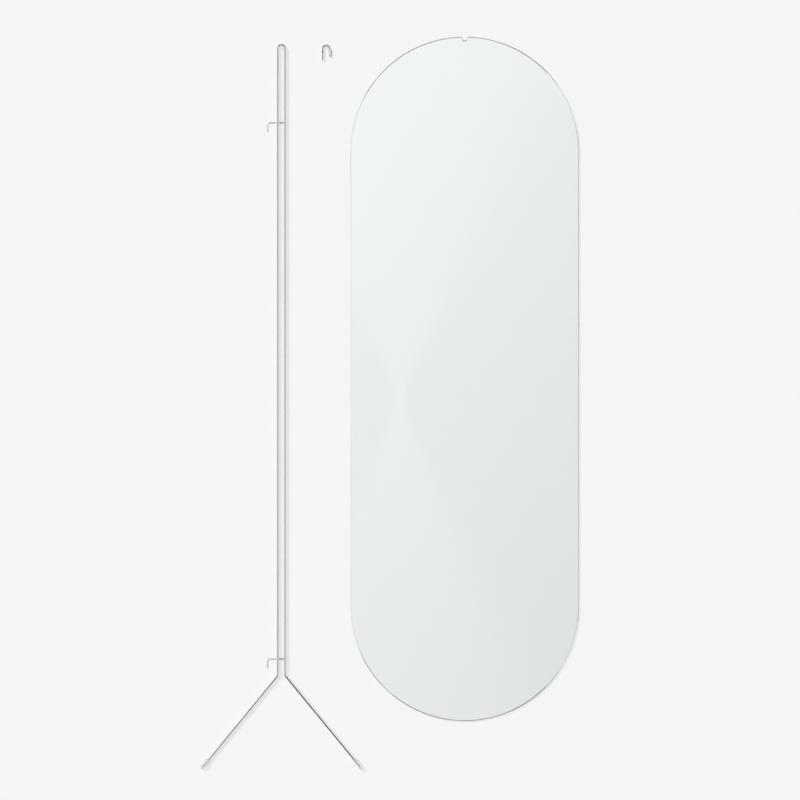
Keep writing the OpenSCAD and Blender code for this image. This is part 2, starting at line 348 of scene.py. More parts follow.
def stand_top():
    """Middle of the stand's topmost point, on the rod's axis height."""
    return Vector(((STAND_LOW.x + STAND_HIGH.x) / 2, STAND_HIGH.y,
                   (STAND_LOW.z + STAND_HIGH.z) / 2))


def leg_corner(rod, side):
    """Corner of the rod's axis where a run turns into its leg, and the leg's direction."""
    corner = stand_top() + Vector((side * rod.spacing / 2, -rod.run_drop, 0))
    direction = Vector((side * math.sin(rod.leg_angle), -math.cos(rod.leg_angle), 0))
    return corner, direction


def cap_end(rod, side):
    """Outer end of a foot cap on its leg's axis, and the leg's direction."""
    corner, direction = leg_corner(rod, side)
    return corner + direction * rod.leg_length, direction


def hook_top(hook):
    """Middle of the hanging hook's topmost point, on the rod's axis height."""
    return Vector((HOOK_LOW.x + hook.throat / 2 + rod_diameter(), HOOK_HIGH.y,
                   (HOOK_LOW.z + HOOK_HIGH.z) / 2))


def flare_corner(hook):
    """Corner of the hook's front leg where it flares, and the direction below it."""
    radius = (hook.throat + rod_diameter()) / 2
    drop = radius + rod_diameter() / 2 + hook.flare_bend * math.tan(hook.flare / 2)
    direction = Vector((math.sin(hook.flare), -math.cos(hook.flare), 0))
    return hook_top(hook) + Vector((radius, -drop, 0)), direction


def flare_length(hook):
    """Length of the flared leg from its corner to the outer end of the sleeve."""
    bend_drop = hook.throat / 2 + rod_diameter()
    run = ((hook.front_leg - bend_drop - hook.flare_bend * math.sin(hook.flare))
           / math.cos(hook.flare))
    return run + hook.flare_bend * math.tan(hook.flare / 2)


def screw_axis(hook):
    """Point of the grub screw's hole on the back leg's axis, and its outward direction."""
    radius = (hook.throat + rod_diameter()) / 2
    origin = hook_top(hook) + Vector((-radius, -hook.screw_drop, 0))
    return origin, Vector((-math.sin(hook.screw_tilt), 0, math.cos(hook.screw_tilt)))


def glass_width():
    return GLASS_HIGH.x - GLASS_LOW.x


def glass_height(mirror):
    """Height of the whole pill; the notch takes the topmost point off the glass's box."""
    half = glass_width() / 2
    crown = half - math.sqrt(half ** 2 - (mirror.notch_width / 2) ** 2)
    return GLASS_HIGH.y - GLASS_LOW.y + crown


# Node helpers

def feed(tree, socket, value):
    """Links another node's output to a socket, or sets the socket to a plain value."""
    if isinstance(value, bpy.types.NodeSocket):
        tree.links.new(value, socket)
    else:
        socket.default_value = value


def add_node(tree, kind, inputs=(), **settings):
    """Adds a node, makes its settings, and feeds its inputs by label or number."""
    node = tree.nodes.new(kind)
    for key, value in settings.items():
        setattr(node, key, value)
    for label, value in dict(inputs).items():
        feed(tree, node.inputs[label], value)
    return node


def node_group(name, kind, inputs, outputs, build):
    """A node group that is made once.

    The rows of inputs and outputs are (socket kind, label), with a default where one fits, and
    build returns what feeds each output.
    """
    if name not in bpy.data.node_groups:
        group = bpy.data.node_groups.new(name, kind)
        for direction, rows in (("INPUT", inputs), ("OUTPUT", outputs)):
            for socket_kind, label, *default in rows:
                socket = group.interface.new_socket(label, in_out=direction,
                                                    socket_type=socket_kind)
                if default:
                    socket.default_value = default[0]
        source = group.nodes.new("NodeGroupInput").outputs
        add_node(group, "NodeGroupOutput", build(group, source))
    return bpy.data.node_groups[name]


def math_node(tree, operation, *values):
    return add_node(tree, "ShaderNodeMath", enumerate(values), operation=operation).outputs[0]


def split_parts(tree, vector):
    """The three parts of a vector, as outputs."""
    return add_node(tree, "ShaderNodeSeparateXYZ", {0: vector}).outputs


def mix_tones(tree, factor, first, second):
    mix = add_node(tree, "ShaderNodeMix", {"Factor": factor, "A": first, "B": second})
    return mix.outputs["Result"]


def step_between(tree, value, start, end, low, high):
    """A smooth step from low to high as the value goes from start to end."""
    step = add_node(tree, "ShaderNodeMapRange", {
        "Value": value, "From Min": start, "From Max": end, "To Min": low, "To Max": high,
    }, interpolation_type="SMOOTHSTEP")
    return step.outputs["Result"]


def band(tree, value, low, high, blur):
    """1 while the value lies between low and high, with soft ends."""
    return math_node(tree, "MULTIPLY", step_between(tree, value, low - blur, low, 0.0, 1.0),
                     step_between(tree, value, high, high + blur, 1.0, 0.0))


def seen_directly(tree):
    """1 for camera rays and for what metal and glass show, 0 for scattered light."""
    rays = tree.nodes.new("ShaderNodeLightPath").outputs
    shown = math_node(tree, "MAXIMUM", rays["Is Camera Ray"], rays["Is Glossy Ray"])
    return math_node(tree, "MAXIMUM", shown, rays["Is Transmission Ray"])


# Materials

def fine_marks_group():
    """Fine marks or grain: noise in a stretched space, as a roughness and a height."""
    def build(group, source):
        stretched = add_node(group, "ShaderNodeVectorMath", {
            0: source["Place"], 1: source["Stretch"]}, operation="MULTIPLY")
        noise = add_node(group, "ShaderNodeTexNoise", {
            "Vector": stretched.outputs[0], "Scale": source["Fineness"], "Detail": 3.0})
        spread = add_node(group, "ShaderNodeMapRange", {
            "Value": noise.outputs["Fac"], "From Min": 0.3, "From Max": 0.7,
            "To Min": source["Low"], "To Max": source["High"]})
        return {"Roughness": spread.outputs["Result"], "Height": noise.outputs["Fac"]}

    return node_group("Fine marks", "ShaderNodeTree", [
        ("NodeSocketVector", "Place", (0, 0, 0)),
        ("NodeSocketVector", "Stretch", EVEN),
        ("NodeSocketFloat", "Fineness", 400.0),
        ("NodeSocketFloat", "Low", 0.05),
        ("NodeSocketFloat", "High", 0.15),
    ], [("NodeSocketFloat", "Roughness"), ("NodeSocketFloat", "Height")], build)


def tone_drift_group():
    """A slow drift of a colour between two tones over the surface."""
    def build(group, source):
        noise = add_node(group, "ShaderNodeTexNoise", {
            "Vector": source["Place"], "Scale": source["Scale"], "Detail": 4.0})
        mix = add_node(group, "ShaderNodeMix", {
            "Factor": noise.outputs["Fac"], "A": source["Dark tone"],
            "B": source["Light tone"]}, data_type="RGBA")
        return {"Colour": mix.outputs["Result"]}

    return node_group("Tone drift", "ShaderNodeTree", [
        ("NodeSocketVector", "Place", (0, 0, 0)),
        ("NodeSocketFloat", "Scale", 20.0),
        ("NodeSocketColor", "Dark tone", (0.5, 0.5, 0.5, 1)),
        ("NodeSocketColor", "Light tone", (0.6, 0.6, 0.6, 1)),
    ], [("NodeSocketColor", "Colour")], build)


def object_place(tree):
    return tree.nodes.new("ShaderNodeTexCoord").outputs["Object"]


def rod_place(tree):
    """Coordinates of the straightened rod, which follow it round its bends."""
    return add_node(tree, "ShaderNodeAttribute", attribute_name="rod_place").outputs["Vector"]


def shade(colour, factor):
    return tuple(min(1.0, part * factor) for part in colour)


def new_material(name, sockets):
    """A material with a Principled shader, whose plain sockets are set."""
    material = bpy.data.materials.new(name)
    material.use_nodes = True
    tree = material.node_tree
    shader = tree.nodes["Principled BSDF"]
    for label, value in sockets.items():
        shader.inputs[label].default_value = value
    return material, tree, shader


def finished_material(name, sockets, fineness, roughness, place=object_place, stretch=EVEN,
                      tones=None, tone_scale=1.0, bump=0.0, bump_height=0.0):
    """A material with a slow drift between two tones, and fine marks with their own bump.

    Roughness is its least and most over the marks, and stretch below 1 lengthens the marks.
    """
    material, tree, shader = new_material(name, sockets)
    spot = place(tree)
    if tones is not None:
        dark, light = ((*tone, 1) for tone in tones)
        drift = add_node(tree, "ShaderNodeGroup", {
            "Place": spot, "Scale": tone_scale, "Dark tone": dark, "Light tone": light,
        }, node_tree=tone_drift_group())
        feed(tree, shader.inputs["Base Color"], drift.outputs["Colour"])
    marks = add_node(tree, "ShaderNodeGroup", {
        "Place": spot, "Stretch": stretch, "Fineness": fineness, "Low": roughness[0],
        "High": roughness[1]}, node_tree=fine_marks_group())
    feed(tree, shader.inputs["Roughness"], marks.outputs["Roughness"])
    if bump:
        relief = add_node(tree, "ShaderNodeBump", {
            "Strength": bump, "Distance": bump_height, "Height": marks.outputs["Height"]})
        feed(tree, shader.inputs["Normal"], relief.outputs["Normal"])
    return material


def glass_material(tint):
    return finished_material(
        "Float glass", {"Base Color": (*tint, 1), "Transmission Weight": 1.0, "IOR": 1.52},
        fineness=9.0, roughness=(0.0, 0.012))


def silver_material(colour):
    return finished_material(
        "Silvering", {"Metallic": 1.0}, fineness=60.0, roughness=(0.0, 0.01),
        tones=(shade(colour, 0.992), colour), tone_scale=2.5)


def backing_paint_material():
    return finished_material(
        "Backing paint", {}, fineness=900.0, roughness=(0.4, 0.55),
        tones=((0.10, 0.11, 0.12), (0.14, 0.15, 0.16)), tone_scale=12.0,
        bump=0.15, bump_height=0.05 * MM)


def film_material():
    return finished_material(
        "Safety film", {}, fineness=700.0, roughness=(0.35, 0.5),
        tones=((0.56, 0.57, 0.58), (0.62, 0.63, 0.64)), tone_scale=6.0,
        bump=0.25, bump_height=0.08 * MM)


def rubber_material():
    return finished_material(
        "Bumper rubber", {"Transmission Weight": 0.35, "IOR": 1.45},
        fineness=1500.0, roughness=(0.3, 0.45),
        tones=((0.74, 0.75, 0.75), (0.80, 0.81, 0.81)), tone_scale=150.0,
        bump=0.2, bump_height=0.05 * MM)


def chrome_material(name, colour):
    """Polished plating with very fine marks that run along the rod."""
    return finished_material(
        name, {"Metallic": 1.0}, fineness=2600.0, roughness=(0.03, 0.07),
        place=rod_place, stretch=(1, 1, 0.03), tones=(shade(colour, 0.98), colour),
        tone_scale=14.0, bump=0.03, bump_height=0.01 * MM)


def wire_material(name, colour, roughness):
    """Plated steel wire, duller than chrome, with drawing marks along it."""
    return finished_material(
        name, {"Metallic": 1.0}, fineness=3500.0, roughness=roughness,
        place=rod_place, stretch=(1, 1, 0.05), tones=(shade(colour, 0.94), colour),
        tone_scale=60.0, bump=0.05, bump_height=0.01 * MM)


def vinyl_material(colour):
    """Clear soft vinyl of the foot caps."""
    return finished_material(
        "Clear vinyl", {"Transmission Weight": 0.96, "IOR": 1.42},
        fineness=350.0, roughness=(0.02, 0.08), tones=(shade(colour, 0.97), colour),
        tone_scale=60.0, bump=0.1, bump_height=0.1 * MM)


def sleeve_material(colour):
    """Milky grey sleeve that keeps the hook off the glass."""
    return finished_material(
        "Soft sleeve", {"Transmission Weight": 0.12, "IOR": 1.45},
        fineness=1200.0, roughness=(0.4, 0.55),
        tones=(shade(colour, 0.95), shade(colour, 1.03)), tone_scale=120.0,
        bump=0.2, bump_height=0.05 * MM)


def black_oxide_material():
    return finished_material(
        "Black oxide", {"Metallic": 0.6}, fineness=2500.0, roughness=(0.3, 0.5),
        tones=((0.012, 0.012, 0.013), (0.03, 0.03, 0.032)), tone_scale=400.0,
        bump=0.15, bump_height=0.02 * MM)


def studio_light_material(studio):
    """A bright ceiling light, a dark part of the ceiling round it, and bright walls.

    The dark part reaches far above and below the ceiling light, and little to its sides.
    Metal and glass each see it at their own size.
    """
    material = bpy.data.materials.new("Studio light")
    material.use_nodes = True
    tree = material.node_tree
    tree.nodes.clear()
    calc, mix, step = (partial(helper, tree) for helper in (math_node, mix_tones, step_between))
    glass = tree.nodes.new("ShaderNodeLightPath").outputs["Is Transmission Ray"]
    unit = add_node(tree, "ShaderNodeVectorMath", {0: object_place(tree)},
                    operation="NORMALIZE")
    right, up, height = split_parts(tree, unit.outputs[0])

    middle, slope_x, slope_y = studio.ceiling
    patch = calc("MULTIPLY_ADD", up, slope_y, calc("MULTIPLY_ADD", right, slope_x, middle))
    patch = calc("MINIMUM", calc("MAXIMUM", patch, PATCH_LEAST), PATCH_MOST)
    inside = calc("MULTIPLY",
                  band(tree, right, studio.patch_low[0], studio.patch_high[0],
                       studio.patch_blur),
                  band(tree, up, studio.patch_low[1], studio.patch_high[1],
                       studio.patch_blur))
    inside = calc("MULTIPLY", inside, glass)

    blur = studio.dark_blur
    side_end = mix(glass, math.sin(studio.metal_side_end), math.sin(studio.glass_side_end))
    side_end = calc("MULTIPLY_ADD", calc("ABSOLUTE", up), studio.dark_flare, side_end)
    shift = mix(glass, studio.metal_shift, studio.glass_shift)
    sideways = calc("ABSOLUTE", calc("SUBTRACT", right, shift))
    beside = step(calc("SUBTRACT", sideways, side_end), -blur, blur, 0.0, 1.0)
    end = mix(glass, math.cos(studio.metal_end), math.cos(studio.glass_end))
    below = step(calc("SUBTRACT", height, end), -blur, blur, 1.0, 0.0)

    flat_square = calc("SUBTRACT", 1.0, calc("MULTIPLY", height, height))
    flat = calc("SQRT", calc("MAXIMUM", flat_square, LEAST_FLAT_SQUARE))
    ahead = step(calc("ABSOLUTE", calc("DIVIDE", right, flat)), AHEAD_INNER, AHEAD_OUTER,
                 1.0, 0.0)
    ends = mix(glass, studio.metal_middle_tone, studio.glass_middle_tone)
    wall = mix(glass, studio.wall_middle_tone, studio.wall_tone)
    tone = mix(calc("MAXIMUM", beside, below), mix(ahead, studio.dark_tone, ends),
               mix(ahead, studio.wall_tone, wall))

    glow = add_node(tree, "ShaderNodeEmission", {"Color": mix(inside, tone, patch)})
    add_node(tree, "ShaderNodeOutputMaterial", {"Surface": glow.outputs[0]})
    return material


# Mesh helpers

def mesh_object(name, mesh):
    piece = bpy.data.objects.new(name, mesh)
    bpy.context.scene.collection.objects.link(piece)
    return piece


def crisp_shading(mesh, angle=ROUND_EDGE):
    """Smooth faces, with a sharp edge wherever two of them meet at more than the angle."""
    mesh.polygons.foreach_set("use_smooth", [True] * len(mesh.polygons))
    mesh.set_sharp_from_angle(angle=angle)
    mesh.update()


def arc(centre, radius, start, end, steps):
    """Points of an arc from one angle to another, both ends included."""
    angles = [start + (end - start) * step / steps for step in range(steps + 1)]
    return [(centre[0] + radius * math.cos(angle), centre[1] + radius * math.sin(angle))
            for angle in angles]


def pill_outline(mirror, inset):
    """Outline of the pill with its notch, smaller all round, anticlockwise from the right."""
    width, height = glass_width(), glass_height(mirror)
    middle = Vector(((GLASS_LOW.x + GLASS_HIGH.x) / 2, GLASS_LOW.y + height / 2))
    radius, end_y = width / 2 - inset, (height - width) / 2
    notch = mirror.notch_width / 2 + inset
    notch_y = height / 2 - mirror.notch_depth + mirror.notch_width / 2
    notch_angle = math.acos(notch / radius)
    half_steps = mirror.arc_steps // 2
    points = arc((0, end_y), radius, 0, notch_angle, half_steps)
    points += arc((0, notch_y), notch, 0, -math.pi, NOTCH_STEPS)
    points += arc((0, end_y), radius, math.pi - notch_angle, math.pi, half_steps)
    points += arc((0, -end_y), radius, math.pi, 2 * math.pi, mirror.arc_steps)
    return [(x + middle.x, y + middle.y) for x, y in points]


def plate_mesh(name, levels, materials):
    """A closed plate from matching outlines, lowest first: [(outline, z), ...].

    The first material is on the top face, and the last one on the sides and the bottom.
    """
    side_slot = len(materials) - 1
    shape = bmesh.new()
    rings = [[shape.verts.new((x, y, z)) for x, y in outline] for outline, z in levels]
    count = len(rings[0])
    for low, high in zip(rings, rings[1:]):
        for step in range(count):
            after = (step + 1) % count
            face = shape.faces.new((low[step], low[after], high[after], high[step]))
            face.material_index = side_slot
    shape.faces.new(rings[0][::-1]).material_index = side_slot
    shape.faces.new(rings[-1]).material_index = 0
    shape.normal_update()
    bmesh.ops.triangulate(shape, faces=[face for face in shape.faces if len(face.verts) > 4])
    mesh = bpy.data.meshes.new(name)
    shape.to_mesh(mesh)
    shape.free()
    for material in materials:
        mesh.materials.append(material)
    crisp_shading(mesh, FLAT_EDGE)
    return mesh


def lathe_mesh(name, profile, sides, matrix, material):
    """A turned piece about local Z from (radius, height) points; radius 0 closes a pole."""
    turns = [2 * math.pi * step / sides for step in range(sides)]
    shape = bmesh.new()
    rings = []
    for radius, height in profile:
        points = [(0, 0, height)] if radius == 0 else [
            (radius * math.cos(turn), radius * math.sin(turn), height) for turn in turns]
        rings.append([shape.verts.new(point) for point in points])
    for low, high in zip(rings, rings[1:]):
        for step in range(sides):
            after = (step + 1) % sides
            corners = [low[step % len(low)], low[after % len(low)],
                       high[after % len(high)], high[step % len(high)]]
            shape.faces.new(list(dict.fromkeys(corners)))
    bmesh.ops.recalc_face_normals(shape, faces=shape.faces)
    shape.transform(matrix)
    mesh = bpy.data.meshes.new(name)
    shape.to_mesh(mesh)
    shape.free()
    mesh.materials.append(material)
    crisp_shading(mesh)
    return mesh


def axis_matrix(origin, direction):
    """Places local Z along a direction from an origin."""
    turn = Vector(direction).normalized().to_track_quat("Z", "Y").to_matrix().to_4x4()
    return Matrix.Translation(origin) @ turn


def closed_sleeve_profile(length, bore, wall, floor, rounding, lip):
    """Section of a cap from its open rim at 0 to its closed end, with a rounded rim."""
    outer = bore + wall
    quarter = math.pi / 2
    profile = [(0, length - floor), (bore - lip, length - floor),
               (bore, length - floor - lip), (bore, lip)]
    profile += arc((bore + lip, lip), lip, 2 * quarter, 3 * quarter, RIM_STEPS)[1:]
    profile += arc((outer - lip, lip), lip, 3 * quarter, 4 * quarter, RIM_STEPS)
    profile += arc((outer - rounding, length - rounding), rounding, 0, quarter, END_STEPS)
    profile.append((0, length))
    return profile


def bumper_profile(wide, height):
    """Section of a bumper from its small foot to the face on the mirror's back."""
    foot, edge = 4 * MM, 0.1 * MM
    return [(0, 0), (foot - 4 * edge, 0), (foot - edge, edge),
            (foot + 1.5 * edge, 3 * edge), (wide - 2 * edge, height - 3 * edge),
            (wide, height - edge / 2), (wide, height), (0, height)]


def tidy_piece(piece, matrix=None):
    """Merges doubles, turns faces outwards, moves the mesh to its place and shades it."""
    shape = bmesh.new()
    shape.from_mesh(piece.data)
    bmesh.ops.remove_doubles(shape, verts=shape.verts, dist=MERGE_GAP)
    bmesh.ops.recalc_face_normals(shape, faces=shape.faces)
    if matrix is not None:
        shape.transform(matrix)
    shape.to_mesh(piece.data)
    shape.free()
    crisp_shading(piece.data)


def settle(piece):
    """Turns a piece with modifiers into a plain mesh."""
    piece.update_tag()
    graph = bpy.context.evaluated_depsgraph_get()
    mesh = bpy.data.meshes.new_from_object(piece.evaluated_get(graph))
    piece.modifiers.clear()
    piece.data = mesh


def cut(piece, tool_mesh):
    """Cuts the shape of a closed mesh out of a piece."""
    tool = mesh_object(tool_mesh.name, tool_mesh)
    modifier = piece.modifiers.new("Cut", "BOOLEAN")
    modifier.operation = "DIFFERENCE"
    modifier.solver = "EXACT"
    modifier.object = tool
    settle(piece)
    bpy.data.objects.remove(tool)


def carry(piece, body, slot_name, *nodes):
    """Gives a piece its body, and hides the CAD nodes that it stands for; the slot name is not
    used.
    """
    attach(piece, body)
    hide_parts(*nodes)


# Geometry nodes

def named_attribute(tree, name, kind):
    node = add_node(tree, "GeometryNodeInputNamedAttribute", {"Name": name}, data_type=kind)
    return node.outputs["Attribute"]


def store_attribute(tree, geometry, name, kind, value):
    node = add_node(tree, "GeometryNodeStoreNamedAttribute", {
        "Name": name, "Geometry": geometry, "Value": value}, data_type=kind, domain="POINT")
    return node.outputs["Geometry"]


def finished_geometry(tree, geometry, source, selection=None):
    """Ends a tree: smooth faces, real geometry, the material and that of a selected part."""
    smooth = add_node(tree, "GeometryNodeSetShadeSmooth", {"Geometry": geometry})
    real = add_node(tree, "GeometryNodeRealizeInstances", {
        "Geometry": smooth.outputs["Geometry"]})
    painted = add_node(tree, "GeometryNodeSetMaterial", {
        "Geometry": real.outputs["Geometry"], "Material": source["Material"]})
    if selection is not None:
        painted = add_node(tree, "GeometryNodeSetMaterial", {
            "Geometry": painted.outputs["Geometry"], "Material": source["Thread material"],
            "Selection": selection})
    return {"Geometry": painted.outputs["Geometry"]}


def bent_rod_tree():
    """Sweeps a round rod along a path of corners; each corner gets its own bend radius."""
    def build(tree, source):
        path = add_node(tree, "GeometryNodeMeshToCurve", {"Mesh": source["Geometry"]})
        fillet = add_node(tree, "GeometryNodeFilletCurve", {
            "Curve": path.outputs["Curve"], "Count": source["Bend steps"],
            "Radius": named_attribute(tree, "bend", "FLOAT")}, mode="POLY")
        spline = tree.nodes.new("GeometryNodeSplineParameter")
        along = store_attribute(tree, fillet.outputs["Curve"], "rod_length", "FLOAT",
                                spline.outputs["Length"])
        circle = add_node(tree, "GeometryNodeCurvePrimitiveCircle", {
            "Resolution": source["Sides"],
            "Radius": math_node(tree, "MULTIPLY", source["Diameter"], 0.5)})
        position = tree.nodes.new("GeometryNodeInputPosition")
        around = store_attribute(tree, circle.outputs["Curve"], "rod_round", "FLOAT_VECTOR",
                                 position.outputs["Position"])
        sweep = add_node(tree, "GeometryNodeCurveToMesh", {
            "Curve": along, "Profile Curve": around, "Fill Caps": True,
            "Scale": named_attribute(tree, "taper", "FLOAT")})
        across = split_parts(tree, named_attribute(tree, "rod_round", "FLOAT_VECTOR"))
        place = add_node(tree, "ShaderNodeCombineXYZ", {
            "X": across["X"], "Y": across["Y"],
            "Z": named_attribute(tree, "rod_length", "FLOAT")})
        placed = store_attribute(tree, sweep.outputs["Mesh"], "rod_place", "FLOAT_VECTOR",
                                 place.outputs[0])
        return finished_geometry(tree, placed, source)

    return node_group("Bent rod", "GeometryNodeTree", [
        ("NodeSocketGeometry", "Geometry"),
        ("NodeSocketFloat", "Diameter", 8 * MM),
        ("NodeSocketInt", "Sides", 48),
        ("NodeSocketInt", "Bend steps", 24),
        ("NodeSocketMaterial", "Material"),
    ], [("NodeSocketGeometry", "Geometry")], build)


def thread_tree():
    """Raises a screw thread on a round bar that lies along local X."""
    def build(tree, source):
        calc = partial(math_node, tree)
        position = tree.nodes.new("GeometryNodeInputPosition").outputs["Position"]
        along, side, height = split_parts(tree, position)
        turn = calc("DIVIDE", calc("ARCTAN2", height, side), 2 * math.pi)
        phase = calc("FRACT", calc("SUBTRACT", calc("DIVIDE", along, source["Pitch"]), turn))
        wave = calc("SUBTRACT", 1.0, calc("ABSOLUTE", calc("MULTIPLY_ADD", phase, 2.0, -1.0)))
        ridge = add_node(tree, "ShaderNodeMapRange", {
            "Value": wave, "From Min": source["Root width"]}, interpolation_type="SMOOTHSTEP")
        rise = calc("DIVIDE", calc("SUBTRACT", along, source["Start"]), source["Start run"])
        fall = calc("DIVIDE", calc("SUBTRACT", source["End"], along), source["End run"])
        mask = add_node(tree, "ShaderNodeClamp", {"Value": calc("MINIMUM", rise, fall)})
        share = calc("MULTIPLY", ridge.outputs["Result"], mask.outputs[0])
        radial = add_node(tree, "ShaderNodeCombineXYZ", {"Y": side, "Z": height})
        outwards = add_node(tree, "ShaderNodeVectorMath", {0: radial.outputs[0]},
                            operation="NORMALIZE")
        offset = add_node(tree, "ShaderNodeVectorMath", {
            0: outwards.outputs[0], "Scale": calc("MULTIPLY", share, source["Depth"])},
            operation="SCALE")
        move = add_node(tree, "GeometryNodeSetPosition", {
            "Geometry": source["Geometry"], "Offset": offset.outputs[0]})
        threaded = calc("GREATER_THAN", along, source["Start"])
        return finished_geometry(tree, move.outputs["Geometry"], source, threaded)

    return node_group("Screw thread", "GeometryNodeTree", [
        ("NodeSocketGeometry", "Geometry"),
        ("NodeSocketFloat", "Pitch", 1.7 * MM),
        ("NodeSocketFloat", "Depth", 0.5 * MM),
        ("NodeSocketFloat", "Start", 0.0),
        ("NodeSocketFloat", "End", 20 * MM),
        ("NodeSocketFloat", "Start run", 1 * MM),
        ("NodeSocketFloat", "End run", 4 * MM),
        ("NodeSocketFloat", "Root width", 0.5),
        ("NodeSocketMaterial", "Material"),
        ("NodeSocketMaterial", "Thread material"),
    ], [("NodeSocketGeometry", "Geometry")], build)


def apply_tree(piece, tree, **values):
    """Runs a tree on an object and keeps the result as a plain mesh."""
    modifier = piece.modifiers.new(tree.name, "NODES")
    modifier.node_group = tree
    for item in tree.interface.items_tree:
        key = item.name.lower().replace(" ", "_")
        if item.item_type == "SOCKET" and item.in_out == "INPUT" and key in values:
            modifier[item.identifier] = values[key]
    settle(piece)


def rod_piece(name, path, diameter, sides, steps, material):
    """A bent rod; path rows are (point, bend radius, taper)."""
    mesh = bpy.data.meshes.new(name)
    mesh.from_pydata([row[0] for row in path],
                     [(step, step + 1) for step in range(len(path) - 1)], [])
    for label, column in (("bend", 1), ("taper", 2)):
        layer = mesh.attributes.new(label, "FLOAT", "POINT")
        layer.data.foreach_set("value", [row[column] for row in path])
    piece = mesh_object(name, mesh)
    apply_tree(piece, bent_rod_tree(), diameter=diameter, sides=sides, bend_steps=steps,
               material=material)
    return piece


# Paths of the rods

def stand_path(rod, cap):
    """From the left foot up, round the hairpin and down to the right foot."""
    top, diameter, half = stand_top(), rod_diameter(), rod.spacing / 2
    slim = 1 - 2 * rod.chamfer / diameter
    path = []
    for side in (-1, 1):
        end, direction = cap_end(rod, side)
        tip = end - direction * (cap.floor + cap.fit)
        corner, _ = leg_corner(rod, side)
        bend_top = top + Vector((side * half, -diameter / 2, 0))
        row = [(tip, 0, slim), (tip - direction * rod.chamfer, 0, 1),
               (corner, rod.leg_bend, 1), (bend_top, half, 1)]
        path += row if side < 0 else row[::-1]
    return path


def hanging_hook_path(rod, hook, cap):
    """From the foot of the back leg up, round the throat and down the flared leg."""
    ring_gap, rings = 0.4 * MM, 8
    top, diameter = hook_top(hook), rod_diameter()
    radius = (hook.throat + diameter) / 2
    slim = 1 - 2 * rod.chamfer / diameter
    left, right = top.x - radius, top.x + radius
    foot, bend_y = top.y - hook.back_leg, top.y - diameter / 2
    hole = top.y - hook.screw_drop
    corner, direction = flare_corner(hook)
    tip = corner + direction * (flare_length(hook) - hook.sleeve_wall - cap.fit)
    path = [(Vector((left, foot, top.z)), 0, slim),
            (Vector((left, foot + rod.chamfer, top.z)), 0, 1)]
    path += [(Vector((left, hole + step * ring_gap, top.z)), 0, 1)
             for step in range(-rings, rings + 1)]
    path += [(Vector((left, bend_y, top.z)), radius, 1),
             (Vector((right, bend_y, top.z)), radius, 1), (corner, hook.flare_bend, 1),
             (tip - direction * rod.chamfer, 0, 1), (tip, 0, slim)]
    return path


def grub_screw_path(radius, length, thread):
    """The screw's core along local X, with a bevel at its point and one at its head."""
    point_bevel, head_bevel, steps = 0.35 * MM, 0.2 * MM, 96
    path = []
    for step in range(steps + 1):
        along = length * step / steps
        bevel = max(0, point_bevel - along, along - length + head_bevel)
        path.append((Vector((along, 0, 0)), 0, (radius - thread - bevel) / radius))
    return path


def wall_hook_path(wall, chamfer):
    """From the end of the arm round the corner and along local X to the point."""
    shoulder, ring_gap, tip_gap = 0.35 * MM, 0.1 * MM, 0.05 * MM
    least_taper, tip_taper = 0.03, 0.02
    core = wall.core / wall.wire
    thread_start = wall.shank - wall.thread_length
    path = [(Vector((0, -wall.arm, 0)), 0, 1 - 2 * chamfer / wall.wire),
            (Vector((0, -wall.arm + chamfer, 0)), 0, 1),
            (Vector((0, 0, 0)), wall.corner, 1), (Vector((thread_start, 0, 0)), 0, 1)]
    along = thread_start + shoulder
    while along < wall.shank - tip_gap:
        taper = min(core, max(least_taper, core * (wall.shank - along) / wall.point))
        path.append((Vector((along, 0, 0)), 0, taper))
        along += ring_gap
    path.append((Vector((wall.shank, 0, 0)), 0, tip_taper))
    return path


# Operators

class MIRRORKIT_OT_glass(bpy.types.Operator):
    """Build the glass plate with its polished arris and its hanging notch"""
    bl_idname = "mirrorkit.glass"
    bl_label = "Glass"

    def execute(self, context):
        mirror = context.scene.mirror_kit.mirror
        edge = pill_outline(mirror, 0)
        face = pill_outline(mirror, mirror.arris)
        low, high = GLASS_LOW.z, GLASS_HIGH.z
        mesh = plate_mesh("Glass", [(face, low), (edge, low + mirror.arris),
                                    (edge, high - mirror.arris), (face, high)],
                          [glass_material(mirror.glass_tint)])
        carry(mesh_object("Glass", mesh), "mirror", "glass", "mirror_glass")
        return {"FINISHED"}


class MIRRORKIT_OT_backing(bpy.types.Operator):
    """Build the silvering with its backing paint, and the safety film behind it"""
    bl_idname = "mirrorkit.backing"
    bl_label = "Silver and film"

    def execute(self, context):
        mirror = context.scene.mirror_kit.mirror
        silver = silver_material(mirror.silver_colour)
        layers = (
            ("Silver", "silver", "silver_coat", mirror.silver_inset, SILVER_LOW.z,
             SILVER_HIGH.z, backing_paint_material()),
            ("Film", "film", "safety_film", mirror.film_inset, FILM_LOW.z,
             FILM_HIGH.z, film_material()),
        )
        for name, slot_name, node, inset, low, high, back in layers:
            outline = pill_outline(mirror, inset)
            mesh = plate_mesh(name, [(outline, low), (outline, high)], [silver, back])
            carry(mesh_object(name, mesh), "mirror", slot_name, node)
        return {"FINISHED"}


class MIRRORKIT_OT_bumpers(bpy.types.Operator):
    """Build the four soft bumpers on the back of the mirror"""
    bl_idname = "mirrorkit.bumpers"
    bl_label = "Bumpers"

    def execute(self, context):
        rubber = rubber_material()
        for node in ("bumper_upper_left", "bumper_upper_right", "bumper_lower_left",
                     "bumper_lower_right"):
            low, high = (Vector(corner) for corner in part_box(node))
            centre = ((low.x + high.x) / 2, (low.y + high.y) / 2, 0)
            mesh = lathe_mesh(node.title().replace("_", ""),
                              bumper_profile((high.x - low.x) / 2, high.z), TURNED_SIDES,
                              Matrix.Translation(centre), rubber)
            carry(mesh_object(mesh.name, mesh), "mirror", "bumper", node)
        return {"FINISHED"}


